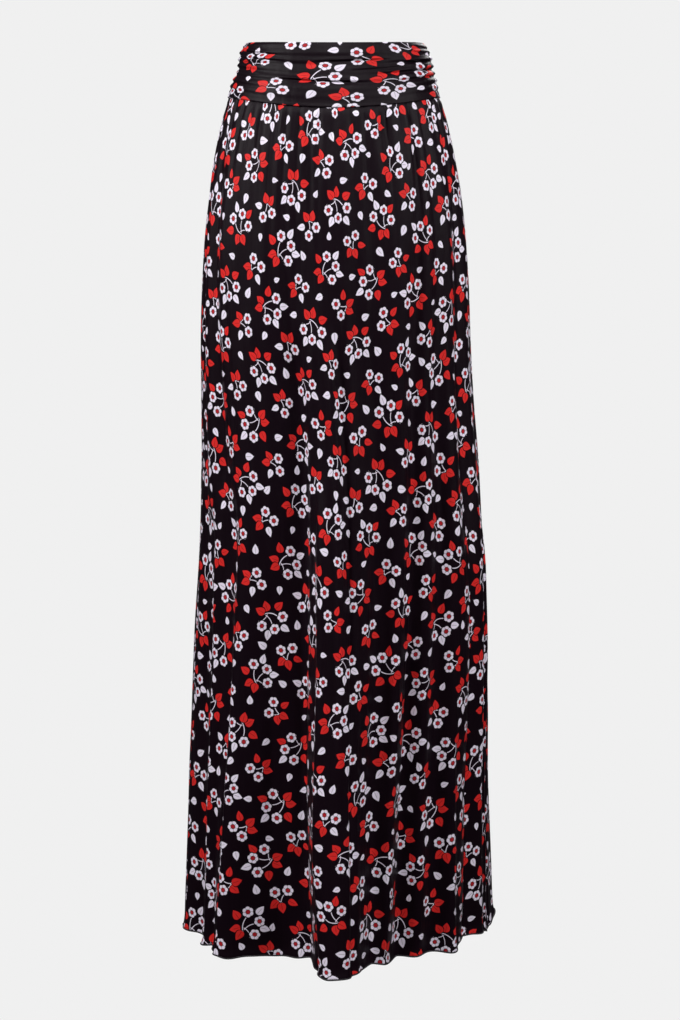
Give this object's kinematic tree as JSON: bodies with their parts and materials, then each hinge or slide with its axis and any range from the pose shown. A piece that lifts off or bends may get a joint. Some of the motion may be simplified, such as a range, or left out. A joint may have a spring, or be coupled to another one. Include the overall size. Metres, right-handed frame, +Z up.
{
  "type": "maxi skirt",
  "caption": "Full-length gathered maxi skirt on a wide ruched waistband, worn and hollow, with a wavy rolled hem.",
  "frame": {"origin": "middle of the waist, on the line between the side seams and at half the height of the waistband", "axes": "+Z up along the body, front of the skirt facing -Y, wearer's left at +X"},
  "size_m": [0.3989, 0.3727, 1.123],
  "materials": {
    "printed_jersey": "soft matt black jersey printed all over with small white daisies and red and white motifs",
    "black_thread": "black overlocked and sewn thread"
  },
  "bodies": {
    "root": {"skirt_front": "printed_jersey", "skirt_back": "printed_jersey", "waistband_front": "printed_jersey", "waistband_back": "printed_jersey"}
  },
  "joints": []
}
